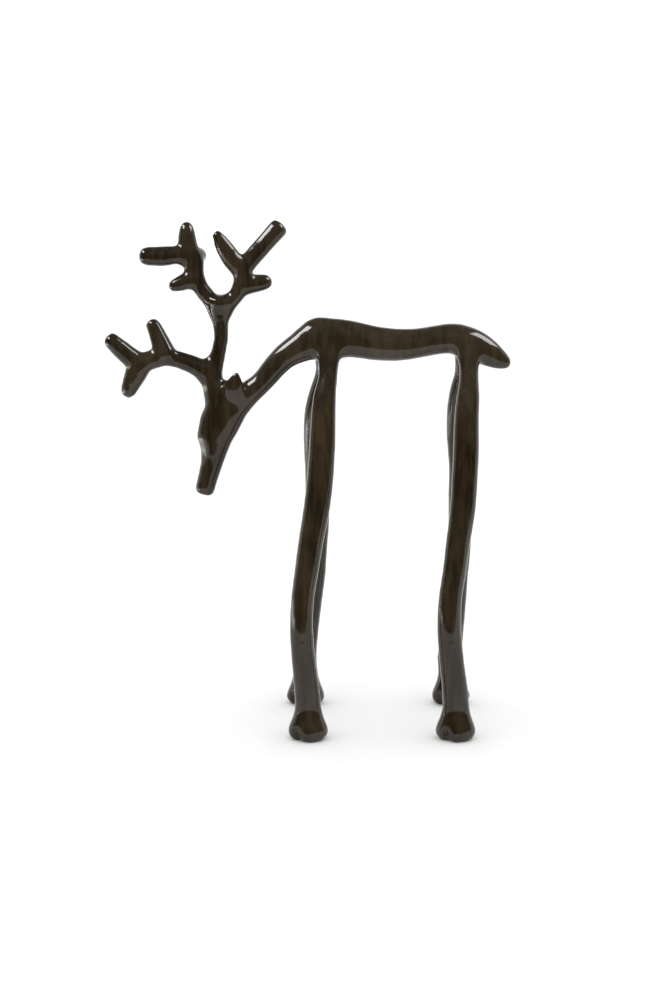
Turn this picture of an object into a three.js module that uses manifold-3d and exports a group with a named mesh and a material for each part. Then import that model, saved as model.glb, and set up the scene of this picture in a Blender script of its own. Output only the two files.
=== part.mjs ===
// A small cast-metal deer ornament that stands on four long legs, its head lowered and its antlers raised.
// The whole animal is one casting. Millimetres, +Z up. The muzzle points along -X, the left flank faces -Y,
// and the origin is the centre of the outline on the ground.

import * as THREE from 'three';
import { mergeVertices } from 'three/addons/utils/BufferGeometryUtils.js';
import Module from 'manifold-3d';

// Stance and trunk
const backHeight = 179.9; // ground to the top of the withers
const wheelbase = 63.5; // front hooves to hind hooves, centre to centre
const stanceWidth = 52; // left hooves to right hooves, centre to centre
const hipWidth = 11; // left leg to right leg where they leave the belly
const bodyDepth = 15; // back to belly, behind the withers
const bodyWidth = 13.5; // flank to flank

// Legs and hooves
const legLength = 10.6; // a leg's section along the body, at mid height
const legWidth = 9.8; // the same section across the body
const hoofLength = 18; // along the body
const hoofWidth = 16; // across the body
const hoofHeight = 14; // ground to the pastern
const kneeHeight = 54; // seen from the front the legs stand plumb below it and lean in above it
const cleftDepth = 3.8; // the split between the two claws, inwards from the toe
const cleftWidth = 4.2; // at the ground
const cleftHeight = 11; // how far up the hoof it reaches

// Neck and head
const neckLength = 45; // withers to poll, along the neck
const neckDepth = 10; // at mid neck
const neckWidth = 9.5;
const headLength = 46; // poll to muzzle
const headDepth = 17; // forehead to jaw
const headWidth = 12.5; // cheek to cheek
const muzzleDepth = 8.2;
const muzzleWidth = 8.6;
const earLength = 12.5;
const earThickness = 4.4;

// Antlers
const antlerHeight = 70; // crown to the tips
const beamThickness = 6.6;
const tineThickness = 7;
const antlerFlatness = 0.92; // an antler's section across the body, as a share of its section in the plane

// How finely the round forms are faceted
const sides = 12;
// Swells a faceted section until its area is that of the round one.
const fullness = Math.sqrt((2 * Math.PI) / sides / Math.sin((2 * Math.PI) / sides));
const ringSpacing = 7; // the longest step from ring to ring
const capRings = 2;

const ACROSS = new THREE.Vector3(0, 1, 0);
const ALONG = new THREE.Vector3(1, 0, 0);

const wasm = await Module();
wasm.setup();

/** A point in the plane of the figure, or beside it when y is given. */
function at(x, z, y = 0) {
  return new THREE.Vector3(x, y, z);
}

/** One station of a limb: where its centre is, and its section in the plane and across it. */
function station(point, thick, deep) {
  return { point, thick, deep };
}

/** Closed solid swept through stations, with a flat root and a rounded tip of the given length. */
function limb(stations, tipLength = 0, across = ACROSS) {
  const spine = new THREE.CatmullRomCurve3(stations.map((s) => s.point));
  const girth = new THREE.CatmullRomCurve3(stations.map((s) => new THREE.Vector3(s.thick, s.deep, 0)));
  const spans = stations.length - 1;
  const rings = spans * Math.ceil(spine.getLength() / spans / ringSpacing);
  const positions = [];

  const addRing = (centre, tangent, thick, deep) => {
    const width = across.clone().addScaledVector(tangent, -across.dot(tangent)).normalize();
    const height = width.clone().cross(tangent);
    for (let j = 0; j < sides; j++) {
      const angle = (2 * Math.PI * (j + 0.5)) / sides;
      const vertex = centre
        .clone()
        .addScaledVector(height, (fullness * Math.cos(angle) * thick) / 2)
        .addScaledVector(width, (fullness * Math.sin(angle) * deep) / 2);
      positions.push(...vertex.toArray());
    }
  };

  for (let i = 0; i <= rings; i++) {
    const t = i / rings;
    const section = girth.getPoint(t);
    addRing(spine.getPoint(t), spine.getTangent(t), section.x, section.y);
  }
  const last = stations[stations.length - 1];
  const outward = spine.getTangent(1);
  for (let i = 1; i <= (tipLength > 0 ? capRings : 0); i++) {
    const turn = (i / (capRings + 1)) * (Math.PI / 2);
    const centre = last.point.clone().addScaledVector(outward, tipLength * Math.sin(turn));
    addRing(centre, outward, last.thick * Math.cos(turn), last.deep * Math.cos(turn));
  }

  const ringCount = positions.length / 3 / sides;
  const root = positions.length / 3;
  const tip = root + 1;
  positions.push(...stations[0].point.toArray());
  positions.push(...last.point.clone().addScaledVector(outward, tipLength).toArray());

  const faces = [];
  for (let j = 0; j < sides; j++) {
    const next = (j + 1) % sides;
    const end = (ringCount - 1) * sides;
    faces.push(root, next, j);
    faces.push(tip, end + j, end + next);
    for (let i = 0; i < ringCount - 1; i++) {
      const lower = i * sides;
      const upper = lower + sides;
      faces.push(lower + j, lower + next, upper + next);
      faces.push(lower + j, upper + next, upper + j);
    }
  }
  const geometry = new THREE.BufferGeometry();
  geometry.setAttribute('position', new THREE.Float32BufferAttribute(positions, 3));
  geometry.setIndex(faces);
  return toSolid(geometry);
}

/** A closed three.js geometry as a solid that can be joined and cut. */
function toSolid(geometry) {
  const bare = geometry.clone();
  bare.deleteAttribute('normal');
  bare.deleteAttribute('uv');
  const merged = mergeVertices(bare);
  return new wasm.Manifold(
    new wasm.Mesh({
      numProp: 3,
      vertProperties: Float32Array.from(merged.attributes.position.array),
      triVerts: Uint32Array.from(merged.index.array),
    }),
  );
}

/** A finished solid as a three.js geometry. */
function toGeometry(solid) {
  const mesh = solid.getMesh();
  const geometry = new THREE.BufferGeometry();
  geometry.setAttribute('position', new THREE.BufferAttribute(mesh.vertProperties, 3));
  geometry.setIndex(new THREE.BufferAttribute(mesh.triVerts, 1));
  return geometry;
}

function joined(solids) {
  return solids.reduce((whole, solid) => whole.add(solid));
}

// Trunk: withers, a slightly dipped back, a round rump and a short tail nub.
// Each row is the place along the wheelbase, the drop of the centre below the back height and the two
// sections, in shares of the body's depth and width.
const trunkRows = [
  [-0.02, 0.7, 0.84, 0.78],
  [0.07, 0.62, 1.16, 0.96],
  [0.18, 0.64, 1.16, 1.0],
  [0.31, 0.66, 1.04, 0.98],
  [0.45, 0.77, 0.99, 0.95],
  [0.6, 0.82, 0.95, 0.93],
  [0.74, 0.78, 0.88, 0.93],
  [0.89, 0.67, 0.84, 0.97],
  [1.02, 0.65, 0.88, 1.0],
  [1.14, 0.85, 0.91, 0.94],
  [1.24, 1.09, 0.77, 0.76],
  [1.312, 1.27, 0.54, 0.56],
  [1.35, 1.35, 0.36, 0.4],
];
const tailTip = 0.11; // length of the rounded end, in shares of the body's depth

function trunk() {
  const stations = trunkRows.map(([along, drop, deep, wide]) =>
    station(at(along * wheelbase, backHeight - drop * bodyDepth), deep * bodyDepth, wide * bodyWidth),
  );
  return limb(stations, tailTip * bodyDepth);
}

// Legs: a flared hoof, a slim shank that bows back and forth, and a thigh that narrows below the belly and
// then spreads into the flank. A hoof row is the share of the hoof's height, length and width.
const hoofRows = [
  [-0.12, 0.73, 0.8],
  [0.06, 0.87, 0.92],
  [0.26, 1.0, 1.0],
  [0.52, 0.84, 0.86],
  [1.0, 0.64, 0.67],
];
// A shank row is the share of the way from the hoof's top to the hip, of the leg's section each way, and how
// much of the leg's distance from the middle of the body is left there.
const shankRows = [
  [0.05, 1.04, 1.04, 1],
  [0.12, 0.98, 1.0, 1],
  [0.22, 0.95, 0.98, 1],
  [0.31, 0.93, 0.96, 1],
  [0.38, 0.95, 0.96, 1],
  [0.46, 0.98, 0.98, 1],
  [0.55, 1.04, 1.02, 1],
  [0.63, 1.06, 1.04, 1],
  [0.72, 1.05, 1.04, 1],
  [0.8, 1.0, 1.0, 1],
  [0.86, 0.92, 0.92, 0.97],
  [0.91, 0.76, 0.86, 0.84],
  [0.95, 0.86, 0.82, 0.69],
  [0.98, 1.22, 0.78, 0.62],
  [1.0, 1.5, 0.68, 0.56],
];
// The bow of each leg along the body, one value for each shank row, in shares of the leg's length section.
const bows = {
  frontLeft: [
    -0.05, -0.16, -0.27, -0.22, -0.07, 0.11, 0.35, 0.49,
    0.58, 0.62, 0.68, 0.81, 0.83, 0.85, 0.86,
  ],
  frontRight: [
    -0.04, 0.05, 0.23, 0.41, 0.47, 0.54, 0.53, 0.54,
    0.48, 0.51, 0.7, 0.85, 0.89, 0.93, 0.94,
  ],
  hindLeft: [
    -0.05, -0.18, -0.31, -0.27, -0.11, 0.03, 0.22, 0.3,
    0.36, 0.37, 0.44, 0.48, 0.48, 0.48, 0.48,
  ],
  hindRight: [
    -0.06, 0.03, 0.15, 0.22, 0.28, 0.28, 0.28, 0.27,
    0.14, 0.1, 0.17, 0.27, 0.3, 0.33, 0.35,
  ],
};
// The four feet: where each hoof's centre is along the body, its side (-1 is the left), its leg's bow, and
// how far the toe is turned to the left from straight ahead.
const feet = [
  { x: 0.007 * wheelbase, side: -1, bow: bows.frontLeft, turn: Math.PI * 0.28 },
  { x: -0.022 * wheelbase, side: 1, bow: bows.frontRight, turn: Math.PI * 0.22 },
  { x: 1.01 * wheelbase, side: -1, bow: bows.hindLeft, turn: Math.PI * 0.28 },
  { x: 1.026 * wheelbase, side: 1, bow: bows.hindRight, turn: Math.PI * 0.22 },
];
const hipHeight = backHeight - 0.76 * bodyDepth;

function leg({ x: hoofX, side, bow }) {
  const footY = (side * stanceWidth) / 2;
  const hipY = (side * hipWidth) / 2;
  const lean = (z) =>
    footY + (hipY - footY) * Math.min(1, Math.max(0, (z - kneeHeight) / (hipHeight - kneeHeight)));
  const hoof = hoofRows.map(([up, long, wide]) =>
    station(at(hoofX, up * hoofHeight, lean(up * hoofHeight)), long * hoofLength, wide * hoofWidth),
  );
  const shank = shankRows.map(([up, long, wide, apart], i) => {
    const z = hoofHeight + up * (hipHeight - hoofHeight);
    return station(at(hoofX + bow[i] * legLength, z, apart * lean(z)), long * legLength, wide * legWidth);
  });
  return limb([...hoof, ...shank]);
}

const cleftSides = 6;
const cleftSink = 1; // how far the wedge starts below the ground, so that the split is open at the sole
const toeReach = 0.48; // hoof's centre to the toe, in shares of the hoof's length

/** The wedge that parts a hoof's two claws at the toe, wide at the ground and narrowing upwards. */
function cleft({ x: hoofX, side, turn }) {
  const wedge = new THREE.ConeGeometry(cleftWidth / 2, cleftHeight, cleftSides);
  wedge.rotateX(Math.PI / 2);
  wedge.scale((2 * cleftDepth) / cleftWidth, 1, 1);
  wedge.translate(-toeReach * hoofLength, 0, cleftHeight / 2 - cleftSink);
  wedge.rotateZ(turn);
  wedge.translate(hoofX, (side * stanceWidth) / 2, 0);
  return toSolid(wedge);
}

// Neck: from the withers down and forwards to the poll, with a full chest below its root. Each row is the
// share of the neck's length forwards and down from the withers, and of the neck's section each way.
const neckRows = [
  [-0.24, 0.2, 1.5, 1.2],
  [-0.06, 0.235, 1.62, 1.2],
  [0.09, 0.308, 1.3, 1.12],
  [0.21, 0.385, 1.12, 1.05],
  [0.33, 0.51, 1.02, 1.0],
  [0.44, 0.64, 0.95, 1.0],
  [0.57, 0.745, 1.1, 1.02],
  [0.69, 0.85, 1.34, 1.1],
];

function neck() {
  const stations = neckRows.map(([forwards, down, thick, wide]) =>
    station(
      at(-forwards * neckLength, backHeight - down * neckLength),
      thick * neckDepth,
      wide * neckWidth,
    ),
  );
  return limb(stations);
}

// Head: hangs down from the poll, with a brow that bulges over a slimmer muzzle. Each row is the share of
// the head's length forwards and down from the crown, and its sections, in shares of the head's.
const crown = at(-0.79 * neckLength, backHeight - 0.72 * neckLength);
const headRows = [
  [0.085, -0.07, 0.7, 0.66],
  [0.05, 0.03, 0.82, 0.84],
  [0.012, 0.11, 1.0, 0.94],
  [-0.008, 0.18, 1.13, 1.0],
  [0.06, 0.32, 1.02, 0.98],
  [0.104, 0.45, 0.9, 0.9],
  [0.108, 0.57, 0.67, 0.82],
];
// The muzzle's rows take its own sections.
const muzzleRows = [
  [0.13, 0.68, 1.16, 1.06],
  [0.166, 0.81, 1.06, 1.0],
  [0.196, 0.925, 1.0, 0.98],
  [0.207, 0.965, 0.92, 0.9],
];
const muzzleTip = 0.012; // the nearly flat nose end, in shares of the head's length

function head() {
  const place = (forwards, down) => at(crown.x - forwards * headLength, crown.z - down * headLength);
  const skull = headRows.map(([forwards, down, thick, wide]) =>
    station(place(forwards, down), thick * headDepth, wide * headWidth),
  );
  const muzzle = muzzleRows.map(([forwards, down, thick, wide]) =>
    station(place(forwards, down), thick * muzzleDepth, wide * muzzleWidth),
  );
  return limb([...skull, ...muzzle], muzzleTip * headLength);
}

// Ears: broad pointed leaves that lie back along the sides of the head. Each row is the share of the ear's
// length backwards and up from the crown, how far out in shares of the head's width, the ear's breadth and
// its thickness.
const earRows = [
  [0.3, -0.28, 0.3, 0.52, 1.0],
  [0.32, -0.02, 0.38, 0.74, 1.0],
  [0.35, 0.24, 0.44, 0.72, 0.85],
  [0.41, 0.48, 0.5, 0.47, 0.62],
  [0.45, 0.64, 0.54, 0.22, 0.42],
];
const earTip = 0.08; // in shares of the ear's length
// The right ear sits a little further forwards and lower than the left one, in the same shares.
const ears = [
  { side: -1, forwards: 0, down: 0 },
  { side: 1, forwards: 0.06, down: 0.2 },
];

function ear({ side, forwards, down }) {
  const stations = earRows.map(([back, up, out, broad, thick]) =>
    station(
      at(
        crown.x + (back - forwards) * earLength,
        crown.z + (up - down) * earLength,
        side * out * headWidth,
      ),
      broad * earLength,
      thick * earThickness,
    ),
  );
  return limb(stations, earTip * earLength);
}

// Antlers: one rack in the plane of the figure. A beam rises from the crown and parts into branches, and
// each branch parts into tines. A row is the share of the antler's height forwards and up from the crown,
// the section in shares of the beam's or the tine's thickness, and the offset to the right in the same.
const beamRows = [
  [0.0, -0.06, 1.45, 0],
  [0.075, 0.045, 1.42, 0],
  [0.065, 0.14, 1.2, 0],
  [0.037, 0.235, 1.01, 0],
  [0.018, 0.325, 0.95, 0],
  [0.02, 0.41, 1.04, 0],
  [0.028, 0.48, 1.3, 0],
  [0.02, 0.555, 1.85, 0],
];
const beamTip = 0.42; // the rounded bottom of the fork at the beam's top, in shares of the beam's thickness
const branchRows = {
  brow: [
    [0.085, 0.05, 1.15, 0],
    [0.132, 0.136, 1.42, -0.05],
    [0.195, 0.168, 1.2, -0.15],
    [0.278, 0.2, 1.08, -0.3],
    [0.357, 0.22, 1.2, -0.4],
    [0.436, 0.203, 1.26, -0.5],
    [0.505, 0.18, 1.24, -0.5],
  ],
  fore: [
    [0.028, 0.45, 1.15, 0],
    [0.072, 0.55, 1.1, 0.05],
    [0.14, 0.633, 1.06, 0.1],
    [0.172, 0.708, 1.15, 0.15],
    [0.175, 0.79, 1.22, 0.15],
    [0.186, 0.836, 1.15, 0.15],
  ],
  rear: [
    [0.02, 0.45, 1.15, 0],
    [-0.026, 0.538, 1.16, 0],
    [-0.084, 0.598, 1.06, -0.05],
    [-0.116, 0.67, 1.2, -0.1],
    [-0.116, 0.74, 1.3, -0.1],
    [-0.105, 0.785, 1.1, -0.1],
  ],
};
const tineRows = {
  browUp: [
    [0.355, 0.217, 1.5, -0.4],
    [0.385, 0.303, 1.16, -0.35],
    [0.413, 0.374, 0.96, -0.3],
    [0.433, 0.416, 0.82, -0.3],
  ],
  browFore: [
    [0.493, 0.163, 1.35, -0.5],
    [0.57, 0.218, 1.22, -0.6],
    [0.634, 0.276, 1.1, -0.7],
    [0.69, 0.328, 0.9, -0.75],
  ],
  browDown: [
    [0.508, 0.18, 1.45, -0.5],
    [0.548, 0.098, 1.28, -0.5],
    [0.573, 0.044, 1.06, -0.5],
    [0.587, 0.012, 0.92, -0.5],
  ],
  foreLow: [
    [0.16, 0.69, 1.25, 0.1],
    [0.235, 0.674, 1.08, 0],
    [0.28, 0.656, 0.86, -0.1],
    [0.303, 0.648, 0.72, -0.15],
  ],
  foreLevel: [
    [0.17, 0.833, 1.15, 0.15],
    [0.278, 0.835, 1.12, 0.0],
    [0.378, 0.826, 1.2, -0.15],
    [0.46, 0.829, 1.13, -0.3],
    [0.489, 0.834, 0.94, -0.35],
  ],
  foreUp: [
    [0.206, 0.829, 1.4, 0.15],
    [0.218, 0.9, 1.2, 0.2],
    [0.221, 0.957, 1.06, 0.25],
    [0.222, 0.998, 0.84, 0.3],
  ],
  rearFore: [
    [-0.108, 0.75, 1.3, -0.1],
    [-0.046, 0.82, 1.2, -0.2],
    [-0.01, 0.88, 1.06, -0.3],
    [0.016, 0.925, 0.84, -0.35],
    [0.034, 0.96, 0.54, -0.4],
  ],
  rearUp: [
    [-0.108, 0.742, 1.25, -0.1],
    [-0.167, 0.808, 1.13, 0.1],
    [-0.249, 0.9, 1.12, 0.4],
    [-0.342, 1.002, 1.14, 0.6],
  ],
  rearLow: [
    [-0.094, 0.642, 1.3, -0.05],
    [-0.157, 0.658, 1.26, 0.1],
    [-0.215, 0.664, 1.08, 0.2],
    [-0.264, 0.67, 0.9, 0.25],
  ],
};
// Length of each tine's rounded tip, in shares of the tine's thickness: short where the real one is blunt.
const tineTips = {
  browUp: 0.3,
  browFore: 0.24,
  browDown: 0.42,
  foreLow: 0.3,
  foreLevel: 0.16,
  foreUp: 0.36,
  rearFore: 0.2,
  rearUp: 0.2,
  rearLow: 0.3,
};
// The short stub that points back and to the right from the fore branch. The rows are as for the tines.
const stubRows = [
  [0.185, 0.82, 1.12, 0],
  [0.168, 0.823, 1.12, 0.5],
  [0.153, 0.825, 1.0, 0.95],
];
const stubTip = 0.35;

// Webs: the metal that rounds the deepest crotches. The rows are as for the tines, across from limb to limb.
const webRows = {
  fork: [
    [0.103, 0.59, 0.8, 0.05],
    [0.062, 0.556, 0.9, 0],
    [0.015, 0.548, 0.9, 0],
    [-0.032, 0.562, 0.9, 0],
    [-0.075, 0.6, 0.8, -0.05],
  ],
  brow: [
    [0.135, 0.158, 0.8, -0.1],
    [0.08, 0.178, 0.9, 0],
    [0.035, 0.24, 0.8, 0],
  ],
  fore: [
    [0.265, 0.815, 0.8, 0],
    [0.204, 0.782, 0.9, 0.1],
    [0.194, 0.74, 0.9, 0.1],
    [0.225, 0.685, 0.8, 0],
  ],
};

function antlerPart(rows, thickness, tip = 0, across = ACROSS) {
  const stations = rows.map(([forwards, up, thick, right]) =>
    station(
      at(crown.x - forwards * antlerHeight, crown.z + up * antlerHeight, right * thickness),
      thick * thickness,
      thick * thickness * antlerFlatness,
    ),
  );
  return limb(stations, tip * thickness, across);
}

function antlers() {
  const branches = Object.values(branchRows).map((rows) => antlerPart(rows, beamThickness));
  const tines = Object.entries(tineRows).map(([name, rows]) =>
    antlerPart(rows, tineThickness, tineTips[name]),
  );
  const stub = antlerPart(stubRows, tineThickness, stubTip, ALONG);
  const beam = antlerPart(beamRows, beamThickness, beamTip);
  const webs = Object.values(webRows).map((rows) => antlerPart(rows, tineThickness));
  return joined([beam, ...branches, ...tines, stub, ...webs]);
}

/** Everything below the ground, which the flat undersides of the hooves are cut on. */
function underground() {
  const span = 4 * (wheelbase + antlerHeight);
  const block = new THREE.BoxGeometry(span, span, hoofHeight);
  block.translate(0, 0, -hoofHeight / 2);
  return toSolid(block);
}

function deerSolid() {
  const whole = joined([trunk(), ...feet.map(leg), neck(), head(), ...ears.map(ear), antlers()]);
  return whole.subtract(joined([underground(), ...feet.map(cleft)]));
}

const geometry = toGeometry(deerSolid());
geometry.computeBoundingBox();
const middle = geometry.boundingBox.getCenter(new THREE.Vector3());
geometry.translate(-middle.x, -middle.y, -geometry.boundingBox.min.z);

const enamel = new THREE.MeshStandardMaterial({ color: 0x2d241b, roughness: 0.18, metalness: 0.0 });
const deer = new THREE.Mesh(geometry, enamel);
deer.name = 'deer';

const figurine = new THREE.Group();
figurine.add(deer);

export default figurine;
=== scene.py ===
# %% [markdown]
# # A lacquered cast deer
# The real thing is a tabletop ornament: a stag modelled by hand, cast in metal in one go and dipped in a
# very dark brown gloss lacquer. The engineering model gives its true size as a solid of flat facets. This
# lesson turns that solid into the smooth, slightly lumpy skin of a casting, gives it the lacquer, and
# lights it like a catalogue picture.
#
# Everything is in metres, in the frame of the engineering model: +Z is up, the muzzle points along -X, and
# the left flank faces -Y, where the camera stands.

# %% Open the engineering model
import math

import bmesh
import bpy
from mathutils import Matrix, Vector


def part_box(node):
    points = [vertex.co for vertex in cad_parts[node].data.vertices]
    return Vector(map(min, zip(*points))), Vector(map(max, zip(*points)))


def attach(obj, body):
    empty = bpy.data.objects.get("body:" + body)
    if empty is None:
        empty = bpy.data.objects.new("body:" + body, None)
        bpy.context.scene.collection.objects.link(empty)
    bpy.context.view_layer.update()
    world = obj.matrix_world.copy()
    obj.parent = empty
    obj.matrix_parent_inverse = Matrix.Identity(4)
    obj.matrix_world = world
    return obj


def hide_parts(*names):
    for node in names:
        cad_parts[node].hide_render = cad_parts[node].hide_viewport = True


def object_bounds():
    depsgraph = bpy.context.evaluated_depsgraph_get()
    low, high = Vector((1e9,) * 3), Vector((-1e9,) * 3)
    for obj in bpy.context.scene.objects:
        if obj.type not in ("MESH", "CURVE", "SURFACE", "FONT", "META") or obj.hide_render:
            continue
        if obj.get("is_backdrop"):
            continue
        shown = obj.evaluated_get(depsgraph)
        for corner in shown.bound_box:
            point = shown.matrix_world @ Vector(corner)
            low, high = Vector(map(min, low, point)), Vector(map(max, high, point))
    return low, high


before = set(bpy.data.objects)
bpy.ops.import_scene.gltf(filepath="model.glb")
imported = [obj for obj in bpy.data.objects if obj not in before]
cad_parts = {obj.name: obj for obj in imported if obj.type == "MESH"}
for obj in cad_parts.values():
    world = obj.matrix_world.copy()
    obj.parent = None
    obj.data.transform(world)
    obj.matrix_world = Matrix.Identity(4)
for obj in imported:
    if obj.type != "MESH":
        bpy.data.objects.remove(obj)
cad_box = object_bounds()

MM = 0.001
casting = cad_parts["deer"]
casting_low, casting_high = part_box("deer")
height = casting_high.z - casting_low.z
print("casting:", [round(side / MM, 1) for side in casting_high - casting_low], "mm")

# %% [markdown]
# ## Writing node trees as sums
# Geometry Nodes and shaders are both trees of small boxes joined by wires. Built by hand in the editor they
# are easy to see and hard to repeat. Here a small class holds one wire, and adding or multiplying two wires
# puts the Math node in the tree. A second class adds any other node from its type, its settings and what
# goes into its sockets.

# %% A wire that can be added and multiplied
class Wire:
    """An output socket that joins in Python arithmetic: each operator adds one Math node."""

    def __init__(self, bench, socket):
        self.bench = bench
        self.socket = socket

    def __add__(self, other):
        return self.bench.math("ADD", self, other)

    __radd__ = __add__

    def __sub__(self, other):
        return self.bench.math("SUBTRACT", self, other)

    def __rsub__(self, other):
        return self.bench.math("SUBTRACT", other, self)

    def __mul__(self, other):
        return self.bench.math("MULTIPLY", self, other)

    def __rtruediv__(self, other):
        return self.bench.math("DIVIDE", other, self)


# %% A bench that adds nodes
class Made:
    """A node just added. Its outputs are read by name or number."""

    def __init__(self, bench, node):
        self.bench = bench
        self.node = node

    def __getitem__(self, key):
        return Wire(self.bench, socket_of(self.node.outputs, key))


def socket_of(sockets, key):
    """The socket with that number, or the first one in use with that name."""
    if isinstance(key, int):
        return sockets[key]
    return next(socket for socket in sockets if socket.name == key and socket.enabled)


class Bench:
    """Adds nodes to one tree."""

    def __init__(self, tree):
        self.tree = tree

    def add(self, kind, settings=None, inputs=None):
        node = self.tree.nodes.new(kind)
        for name, value in (settings or {}).items():
            setattr(node, name, value)
        for key, value in (inputs or {}).items():
            socket = socket_of(node.inputs, key)
            if isinstance(value, Wire):
                self.tree.links.new(value.socket, socket)
            else:
                socket.default_value = value
        return Made(self, node)

    def math(self, operation, first, second):
        return self.add("ShaderNodeMath", {"operation": operation}, {0: first, 1: second})[0]

    def above_zero(self, value):
        return self.math("MAXIMUM", value, 0.0)

    def vector(self, operation, inputs, output="Vector"):
        return self.add("ShaderNodeVectorMath", {"operation": operation}, inputs)[output]

    def ramp(self, value, low, high, at_low=0.0, at_high=1.0):
        """Goes smoothly from at_low to at_high as value goes from low to high."""
        ends = {"From Min": low, "From Max": high, "To Min": at_low, "To Max": at_high}
        inputs = {"Value": value, **ends}
        return self.add("ShaderNodeMapRange", {"interpolation_type": "SMOOTHSTEP"}, inputs)[0]

    def blend(self, factor, first, second):
        """A mix of two colours."""
        inputs = {"Factor": factor, "A": first, "B": second}
        return self.add("ShaderNodeMix", {"data_type": "RGBA"}, inputs)["Result"]


def empty_bench(owner):
    """A bench on the cleared node tree of a material or a world."""
    owner.use_nodes = True
    owner.node_tree.nodes.clear()
    return Bench(owner.node_tree)


# %% [markdown]
# ## The melted casting
# A casting taken from a hand-rolled clay model has no edges: every limb flows into the next through a soft
# fillet, and the surface waves a little where fingers pressed it. Sculpting that by hand would lose the
# measured outline. Subdividing the facets would round each limb but leave the creases where limbs meet.
# Geometry Nodes can do it by rule instead, in four steps: an even skin, fillets, melted facets, and the
# marks of the hand. Every step moves the points of one skin, so the tools for that come first.

# %% Sizes of the skin
SKIN = {
    "Grain": 0.72 * MM,
    "Fill passes": 12,
    "Fill gain": 1.6,
    "Hollow passes": 8,
    "Hollow from": 0.05 * MM,
    "Hollow to": 0.15 * MM,
    "Hollow spread": 16,
    "Melt passes": 44,
    "Regain passes": 16,
    "Wave depth": 0.3 * MM,
    "Wave length": 13.0 * MM,
    "Ripple depth": 0.03 * MM,
    "Ripple length": 6.0 * MM,
    "Hoof height": 14.0 * MM,
    "Head start": -24.0 * MM,
    "Crisp weight": 0.12,
    "Cleft weight": 0.015,
    "Cleft depth": 0.9 * MM,
    "Seed": 7.0,
}
HOOF_TOP = (0.7, 1.5)  # shares of the hoof height between which a hoof turns into a leg


# %% A bench for the skin
class SkinBench(Bench):
    """Adds the nodes that read and move the points of a skin."""

    def __init__(self, tree):
        super().__init__(tree)
        self.given = self.add("NodeGroupInput")
        self.place = self.add("GeometryNodeInputPosition")["Position"]
        self.normal = self.add("GeometryNodeInputNormal")["Normal"]
        self.axes = self.add("ShaderNodeSeparateXYZ", None, {0: self.place})
        solid = {"Geometry": self.given["Geometry"]}
        self.facets = self.add("GeometryNodeProximity", {"target_element": "FACES"}, solid)["Position"]
        hoof_top = [self.given["Hoof height"] * share for share in HOOF_TOP]
        self.above_hooves = self.ramp(self.axes["Z"], *hoof_top)

    def placed(self, skin, position):
        inputs = {"Geometry": skin, "Position": position}
        return self.add("GeometryNodeSetPosition", None, inputs)["Geometry"]

    def shifted(self, skin, offset):
        inputs = {"Geometry": skin, "Offset": offset}
        return self.add("GeometryNodeSetPosition", None, inputs)["Geometry"]

    def pushed(self, skin, distance):
        """The skin with its points pushed out along their normals."""
        return self.shifted(skin, self.vector("SCALE", {0: self.normal, "Scale": distance}))

    def blurred_place(self, passes, weight=1.0):
        inputs = {"Value": self.place, "Iterations": passes, "Weight": weight}
        return self.add("GeometryNodeBlurAttribute", {"data_type": "FLOAT_VECTOR"}, inputs)["Value"]

    def blurred_number(self, passes, value):
        inputs = {"Value": value, "Iterations": passes}
        return self.add("GeometryNodeBlurAttribute", {"data_type": "FLOAT"}, inputs)["Value"]

    def along_normal(self, target):
        """How far a target lies from the skin, counted along the skin's normal."""
        way = self.vector("SUBTRACT", {0: target, 1: self.place})
        return self.vector("DOT_PRODUCT", {0: way, 1: self.normal}, "Value")

    def hollow(self, passes):
        """How far a blur would lift the skin: above zero in hollow places only."""
        return self.along_normal(self.blurred_place(passes))


# %% [markdown]
# ### An even skin
# The engineering solid has long thin triangles that can't bend. A remesh modifier would do, but inside the
# tree the same is done by turning the solid into a volume and that volume into a skin of even little
# squares. Its points then snap to the nearest facet, which brings back the size that the volume blurs.

# %% Make the even skin
BAND_GRAINS = 3
VOLUME_EDGE = 0.1
BY_GRAIN = {"resolution_mode": "VOXEL_SIZE"}


def even_skin(bench):
    grain = bench.given["Grain"]
    filling = {"Mesh": bench.given["Geometry"], "Voxel Size": grain}
    filling["Interior Band Width"] = grain * BAND_GRAINS
    volume = bench.add("GeometryNodeMeshToVolume", BY_GRAIN, filling)["Volume"]
    skinning = {"Volume": volume, "Voxel Size": grain, "Threshold": VOLUME_EDGE}
    skin = bench.add("GeometryNodeVolumeToMesh", BY_GRAIN, skinning)["Mesh"]
    return bench.placed(skin, bench.facets)


# %% [markdown]
# ### Fillets
# Clay and molten metal fill the crotch between two limbs. A bevel can't find its way through such joints.
# A blur can: it moves the skin inward on a limb and outward in a crotch, so only the outward part is kept
# and made a little stronger. The hooves are left out, or their clefts would fill up too.

# %% Fill the crotches
FILL_ROUNDS = 4


def filled(bench, skin):
    for _ in range(FILL_ROUNDS):
        rise = bench.above_zero(bench.hollow(bench.given["Fill passes"])) * bench.given["Fill gain"]
        skin = bench.pushed(skin, rise * bench.above_hooves)
    return skin


# %% [markdown]
# ### Melted facets
# A plain blur melts the facets and also thins the limbs. Scaling them up first would only be right for one
# thickness. So what a second blur of the same kind takes is put back, and where the skin still lies inside
# the facets it is pushed out again.
#
# Head and antlers are finer than the rest and keep crisper edges through a smaller blur weight. So do the
# clefts of the hooves, which are found as the hollow places there and are pressed in a little first. The
# weight is stored on the skin before it moves, so that both blurs use the same one.

# %% Melt the facets
EDGE_BLEND = 6.0 * MM
SPREAD_MASK = 0.3


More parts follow.
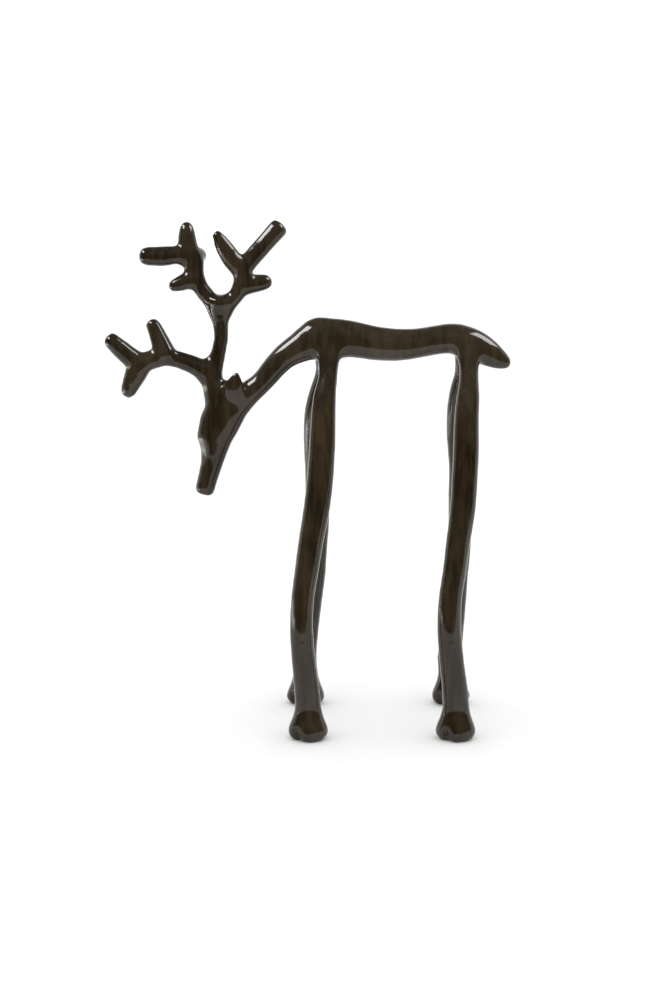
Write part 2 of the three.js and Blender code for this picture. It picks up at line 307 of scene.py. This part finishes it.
def melted(bench, skin):
    given = bench.given
    head_start = given["Head start"]
    fore = 1 - bench.ramp(bench.axes["X"], head_start - EDGE_BLEND, head_start + EDGE_BLEND)
    valley = bench.ramp(bench.hollow(given["Hollow passes"]), given["Hollow from"], given["Hollow to"])
    near_valley = bench.ramp(bench.blurred_number(given["Hollow spread"], valley), 0.0, SPREAD_MASK)
    cleft = near_valley * (1 - bench.above_hooves)
    softness = 1 - fore * (1 - given["Crisp weight"]) - cleft * (1 - given["Cleft weight"])
    kinds = {"data_type": "FLOAT", "domain": "POINT"}
    stored = {"Geometry": skin, "Name": "softness", "Value": softness}
    skin = bench.add("GeometryNodeStoreNamedAttribute", kinds, stored)["Geometry"]
    reading = {"data_type": "FLOAT"}
    weight = bench.add("GeometryNodeInputNamedAttribute", reading, {"Name": "softness"})[0]

    skin = bench.pushed(skin, valley * (bench.above_hooves - 1) * given["Cleft depth"])
    skin = bench.placed(skin, bench.blurred_place(given["Melt passes"], weight))
    again = bench.blurred_place(given["Melt passes"], weight)
    skin = bench.shifted(skin, bench.vector("SUBTRACT", {0: bench.place, 1: again}))

    lost = bench.above_zero(bench.along_normal(bench.facets))
    return bench.pushed(skin, bench.blurred_number(given["Regain passes"], lost) * bench.above_hooves)


# %% [markdown]
# ### Marks of the hand
# Rolled clay is never quite even, and a dead even leg looks turned on a lathe. Low waves push the skin in and
# out along its normal; a bump in the material would leave the outline straight. The waves are drawn out along
# the legs, as rolling does. The soles were flattened on the table, so the lowest band is pressed flat.

# %% Wave the skin and press the soles
WAVE_STRETCH = (1.0, 1.0, 0.3)
NOISE_MIDDLE = 0.5
RIPPLE_SHIFT = 3.7
SOLE_BAND = 1.0 * MM


def waves(bench, name, seed_shift):
    """Pushes of up to the named depth in and out, over the named length."""
    stretched = bench.vector("MULTIPLY", {0: bench.place, 1: WAVE_STRETCH})
    seed = bench.given["Seed"] + seed_shift
    scale = 1 / bench.given[name + " length"]
    inputs = {"Vector": stretched, "W": seed, "Scale": scale, "Detail": 0.0}
    noise = bench.add("ShaderNodeTexNoise", {"noise_dimensions": "4D"}, inputs)[0]
    return (noise - NOISE_MIDDLE) * (bench.given[name + " depth"] * 2)


def waved(bench, skin):
    return bench.pushed(skin, waves(bench, "Wave", 0.0) + waves(bench, "Ripple", RIPPLE_SHIFT))


def with_flat_soles(bench, skin):
    axes = bench.axes
    pressed = bench.above_zero(axes["Z"]) * bench.ramp(axes["Z"], 0.0, SOLE_BAND)
    flat = bench.add("ShaderNodeCombineXYZ", None, {"X": axes["X"], "Y": axes["Y"], "Z": pressed})[0]
    return bench.placed(skin, flat)


# %% Put the steps together
def skin_tree(material):
    tree = bpy.data.node_groups.new("melted_casting", "GeometryNodeTree")
    tree.is_modifier = True
    face = tree.interface
    face.new_socket("Geometry", in_out="INPUT", socket_type="NodeSocketGeometry")
    for name, value in SKIN.items():
        kind = "NodeSocketInt" if isinstance(value, int) else "NodeSocketFloat"
        face.new_socket(name, in_out="INPUT", socket_type=kind)
    face.new_socket("Geometry", in_out="OUTPUT", socket_type="NodeSocketGeometry")

    bench = SkinBench(tree)
    skin = even_skin(bench)
    for step in (filled, melted, waved, with_flat_soles):
        skin = step(bench, skin)
    smoothing = {"Geometry": skin, "Shade Smooth": True}
    smooth = bench.add("GeometryNodeSetShadeSmooth", None, smoothing)[0]
    solid = bench.add("GeometryNodeRealizeInstances", None, {"Geometry": smooth})[0]
    coating = {"Geometry": solid, "Material": material}
    coated = bench.add("GeometryNodeSetMaterial", None, coating)[0]
    bench.add("NodeGroupOutput", None, {0: coated})
    print("skin tree:", len(tree.nodes), "nodes")
    return tree


# %% [markdown]
# ## The lacquer
# The coat is a glossy, nearly black brown. Where it is thick it looks black; where it ran thin, the brown
# shows.
# On the trunk the base colour is also painted lighter: that is painted light, for the brighter light on the
# trunk. Chrome-like mixes or a plain black would both lose that warmth. One Principled shader is enough: a
# very dark base colour that shifts between two browns, a smooth gloss, and a faint bump for the orange-peel
# skin that dipped lacquer dries with.
# The thin places are broad patches and narrow streaks of noise, both drawn out downwards, as lacquer runs.

# %% Colours of the lacquer
THICK_BROWN = (0.0110, 0.0071, 0.0028, 1.0)
THIN_LACQUER_AND_PAINTED_LIGHT_BROWN = (0.0370, 0.0262, 0.0142, 1.0)
LACQUER_IOR = 1.45
ROUGHNESS = 0.07
ROUGHNESS_SPREAD = 0.06

PATCH_LENGTH = 16 * MM
PATCH_STRETCH = (1.0, 1.0, 0.4)
PATCH_EDGE = (0.34, 0.7)
PATCH_SHARE = 0.55

STREAK_LENGTH = 2.4 * MM
STREAK_STRETCH = (1.0, 1.0, 0.12)
STREAK_EDGE = (0.36, 0.66)
STREAK_SHARE = 0.45

# The trunk's painted light: the part above the legs and behind the neck is mixed towards the lighter brown.
TRUNK_UNDERSIDE = 158 * MM
TRUNK_FRONT = -12 * MM
TRUNK_EDGE = PATCH_LENGTH / 2
TRUNK_PAINTED_LIGHT_SHARE = 0.3

PEEL_LENGTH = 1.4 * MM
PEEL_HEIGHT = 0.03 * MM
PEEL_STRENGTH = 0.35
PEEL_DETAIL = 1.0
COLOUR_DETAIL = 2.0
UNSTRETCHED = (1.0, 1.0, 1.0)


# %% Mix the lacquer
def lacquer_material():
    material = bpy.data.materials.new("brown_gloss_lacquer")
    bench = empty_bench(material)
    place = bench.add("ShaderNodeTexCoord")["Object"]

    def noise(length, detail=COLOUR_DETAIL, stretch=UNSTRETCHED):
        where = bench.add("ShaderNodeMapping", None, {"Vector": place, "Scale": stretch})[0]
        inputs = {"Vector": where, "Scale": 1 / length, "Detail": detail}
        return bench.add("ShaderNodeTexNoise", None, inputs)[0]

    patches = bench.ramp(noise(PATCH_LENGTH, stretch=PATCH_STRETCH), *PATCH_EDGE)
    streaks = bench.ramp(noise(STREAK_LENGTH, stretch=STREAK_STRETCH), *STREAK_EDGE)
    axes = bench.add("ShaderNodeSeparateXYZ", None, {0: place})
    above_legs = bench.ramp(axes["Z"], TRUNK_UNDERSIDE, TRUNK_UNDERSIDE + TRUNK_EDGE)
    # Painted light on the trunk; the patches and streaks are thin lacquer.
    painted_trunk_light = above_legs * bench.ramp(axes["X"], TRUNK_FRONT - TRUNK_EDGE, TRUNK_FRONT)
    thin_lacquer_and_painted_light = patches * PATCH_SHARE + streaks * STREAK_SHARE + painted_trunk_light * TRUNK_PAINTED_LIGHT_SHARE

    grains = noise(PEEL_LENGTH, detail=PEEL_DETAIL)
    bumps = {"Strength": PEEL_STRENGTH, "Distance": PEEL_HEIGHT, "Height": grains}
    looks = {
        "Base Color": bench.blend(thin_lacquer_and_painted_light, THICK_BROWN, THIN_LACQUER_AND_PAINTED_LIGHT_BROWN),
        "Roughness": ROUGHNESS + noise(PATCH_LENGTH / 2) * ROUGHNESS_SPREAD,
        "IOR": LACQUER_IOR,
        "Normal": bench.add("ShaderNodeBump", None, bumps)["Normal"],
    }
    shader = bench.add("ShaderNodeBsdfPrincipled", None, looks)["BSDF"]
    bench.add("ShaderNodeOutputMaterial", None, {"Surface": shader})
    return material


lacquer = lacquer_material()
print("lacquer:", len(lacquer.node_tree.nodes), "nodes")

# %% [markdown]
# ## Put the skin on
# The tree runs on a copy of the casting's mesh, because the engineering solid itself is never touched. That
# mesh is loose triangles, so its doubles are merged first. The modifier could stay on the object, but a
# plain mesh is what an export can carry. So the result is taken off the modifier, rides on the part's one
# body and takes the solid's place in the picture.

# %% Melt the casting
SEW_DISTANCE = MM / 1000


def merged_copy(source, name):
    """A copy of a solid's mesh with its loose triangles sewn together."""
    sewn = bmesh.new()
    sewn.from_mesh(source.data)
    bmesh.ops.remove_doubles(sewn, verts=sewn.verts, dist=SEW_DISTANCE)
    mesh = bpy.data.meshes.new(name)
    sewn.to_mesh(mesh)
    sewn.free()
    return mesh


def grown(mesh, tree, values, name):
    """The plain mesh that a Geometry Nodes tree makes from a mesh."""
    carrier = bpy.data.objects.new(name + "_carrier", mesh)
    bpy.context.scene.collection.objects.link(carrier)
    modifier = carrier.modifiers.new("skin", "NODES")
    modifier.node_group = tree
    for item in tree.interface.items_tree:
        if item.in_out == "INPUT" and item.name in values:
            modifier[item.identifier] = values[item.name]
    shown = carrier.evaluated_get(bpy.context.evaluated_depsgraph_get())
    plain = bpy.data.meshes.new_from_object(shown)
    bpy.data.objects.remove(carrier)
    plain.name = name
    return plain


deer_mesh = grown(merged_copy(casting, "deer_facets"), skin_tree(lacquer), SKIN, "deer_skin")
deer = bpy.data.objects.new("deer_skin", deer_mesh)
bpy.context.scene.collection.objects.link(deer)
triangles = sum(len(polygon.vertices) - 2 for polygon in deer_mesh.polygons)
print("deer skin:", triangles, "triangles")

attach(deer, "root")
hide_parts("deer")

# %% [markdown]
# ## The floor
# The catalogue picture was taken on white paper. A glossy floor would turn grey towards the horizon, so this
# one is matt. Its sheet ends just in front of the picture. The belly and the lower legs mirror white paper,
# while the head and the upper part of the near legs mirror the dark room beyond its edge.

# %% Lay the floor
FLOOR_HALF = 4.0
FLOOR_FRONT = -0.31
FLOOR_COLOUR = (0.93, 0.93, 0.93, 1.0)


def floor_material():
    material = bpy.data.materials.new("pale_floor")
    bench = empty_bench(material)
    inputs = {"Base Color": FLOOR_COLOUR, "Roughness": 1.0, "Specular IOR Level": 0.0}
    shader = bench.add("ShaderNodeBsdfPrincipled", None, inputs)["BSDF"]
    bench.add("ShaderNodeOutputMaterial", None, {"Surface": shader})
    return material


corners = [
    (-FLOOR_HALF, FLOOR_FRONT, 0.0),
    (FLOOR_HALF, FLOOR_FRONT, 0.0),
    (FLOOR_HALF, FLOOR_HALF, 0.0),
    (-FLOOR_HALF, FLOOR_HALF, 0.0),
]
floor_mesh = bpy.data.meshes.new("floor")
floor_mesh.from_pydata(corners, [], [(0, 1, 2, 3)])
floor_mesh.materials.append(floor_material())
floor = bpy.data.objects.new("floor", floor_mesh)
bpy.context.scene.collection.objects.link(floor)
floor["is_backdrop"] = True
print("floor: from", FLOOR_FRONT, "to", FLOOR_HALF, "m")

# %% [markdown]
# ## The room
# Gloss shows its surroundings more than its own colour, so the room matters as much as the lacquer. It was
# white below and behind, dim on the camera's side and overhead. The white sweep gives the grey rims, and the
# dim room keeps the flanks and the top of the back black. One world colour would make the whole deer grey,
# and a built room would cost light on the floor. So what the gloss sees of the world is split by direction,
# and everything else sees an even sky.

# %% Build the room
SKY_LIGHT = 1.2
SWEEP_LIGHT = 1.0
ROOM_LIGHT = 0.03
CEILING_LIGHT = 0.2
CEILING_FROM = (0.1, 0.5)
SWEEP_FROM = (-0.1, 0.25)
SWEEP_TOP = (math.sin(math.radians(32)), math.sin(math.radians(52)))
WHITE = (1.0, 1.0, 1.0, 1.0)


def studio_world():
    world = bpy.data.worlds.new("studio")
    bench = empty_bench(world)
    direction = bench.add("ShaderNodeTexCoord")["Generated"]
    axes = bench.add("ShaderNodeSeparateXYZ", None, {0: direction})
    sweep = bench.ramp(axes["Y"], *SWEEP_FROM) * (1 - bench.ramp(axes["Z"], *SWEEP_TOP))
    mirrored = bench.add("ShaderNodeLightPath")["Is Glossy Ray"]
    room = bench.ramp(axes["Z"], *CEILING_FROM, ROOM_LIGHT, CEILING_LIGHT)
    seen = room + sweep * (SWEEP_LIGHT - room)
    strength = SKY_LIGHT - mirrored * (SKY_LIGHT - seen)
    background = bench.add("ShaderNodeBackground", None, {"Color": WHITE, "Strength": strength})[0]
    bench.add("ShaderNodeOutputWorld", None, {"Surface": background})
    return world


scene = bpy.context.scene
scene.world = studio_world()
scene.view_settings.view_transform = "Standard"
scene.view_settings.look = "None"
print("room:", len(scene.world.node_tree.nodes), "nodes")

# %% [markdown]
# ## The lamps
# A soft light on each side above gives the bright streaks on the neck and the rump. Both shine only on the
# gloss, so that the floor stays evenly white under the world's light. Bare bulbs would give dots instead of
# streaks.
#
# A third lamp hangs low over the paper on the left, outside the picture, and makes that spot far brighter
# than white. Only the far legs, which lean towards the camera above the knee, mirror it as bright slivers.

# %% Hang the lamps
AIM_SHARE = 0.6
LEFT_LIGHT = {"place": (-0.88, -0.24, 1.06), "size": (0.95, 0.36), "power": 19.0}
RIGHT_LIGHT = {"place": (0.85, -0.05, 1.0), "size": (0.7, 0.5), "power": 12.0}
PAPER_LAMP = {"place": (-0.45, 0.02, 0.3), "size": (0.2, 0.35), "power": 1.5}
PAPER_SPOT = (-0.45, 0.02, 0.0)
PAPER_LAMP_SPREAD = math.radians(50)


def soft_light(name, aim, place, size, power):
    """A soft box that only the gloss sees."""
    data = bpy.data.lights.new(name, "AREA")
    data.shape = "RECTANGLE"
    data.size, data.size_y = size
    data.energy = power
    light = bpy.data.objects.new(name, data)
    light.location = place
    light.rotation_mode = "QUATERNION"
    light.rotation_quaternion = (Vector(aim) - light.location).to_track_quat("-Z", "Y")
    light.visible_camera = False
    light.visible_diffuse = False
    bpy.context.scene.collection.objects.link(light)
    return light


middle = (0.0, 0.0, height * AIM_SHARE)
soft_light("left_light", middle, **LEFT_LIGHT)
soft_light("right_light", middle, **RIGHT_LIGHT)

paper_lamp = soft_light("paper_lamp", PAPER_SPOT, **PAPER_LAMP)
paper_lamp.data.spread = PAPER_LAMP_SPREAD
paper_lamp.visible_diffuse = True
paper_lamp.visible_glossy = False
print("lamps:", len(bpy.data.lights))

# %% [markdown]
# ## The camera
# The picture was taken from the deer's left side, a little above it, with a longish lens about 80 cm away.
# That is how far off the far hooves look as much smaller as they do. The distance, height and tilt come
# from where the four hooves stand in the picture; turning a camera by eye would not bring all four there.

# %% Stand the camera
CAMERA_RIGHT = 10.3 * MM
CAMERA_DISTANCE = 800 * MM
CAMERA_HEIGHT = 252.0 * MM
CAMERA_TILT = math.radians(10.74)
CLIP_START = 0.01
PICTURE_HEIGHT = 998
FOCAL_PIXELS = 1868.3
SENSOR = 36.0

camera_data = bpy.data.cameras.new("camera")
camera_data.sensor_width = SENSOR
camera_data.lens = FOCAL_PIXELS / PICTURE_HEIGHT * SENSOR
camera_data.clip_start = CLIP_START
camera = bpy.data.objects.new("camera", camera_data)
camera.location = (CAMERA_RIGHT, -CAMERA_DISTANCE, CAMERA_HEIGHT)
camera.rotation_euler = (math.pi / 2 - CAMERA_TILT, 0.0, 0.0)
scene.collection.objects.link(camera)
scene.camera = camera
print("lens:", round(camera_data.lens, 1), "mm")

# %% [markdown]
# ## Measure and finish
# The skin has to be the same size as the solid it stands for. Both boxes are printed, so that they can
# be compared after each change.

# %% Print the two boxes
skin_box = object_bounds()
boxes = {"cad": [list(corner) for corner in cad_box], "visual": [list(corner) for corner in skin_box]}
for name, corners in boxes.items():
    print(name, [[round(value / MM, 2) for value in corner] for corner in corners])
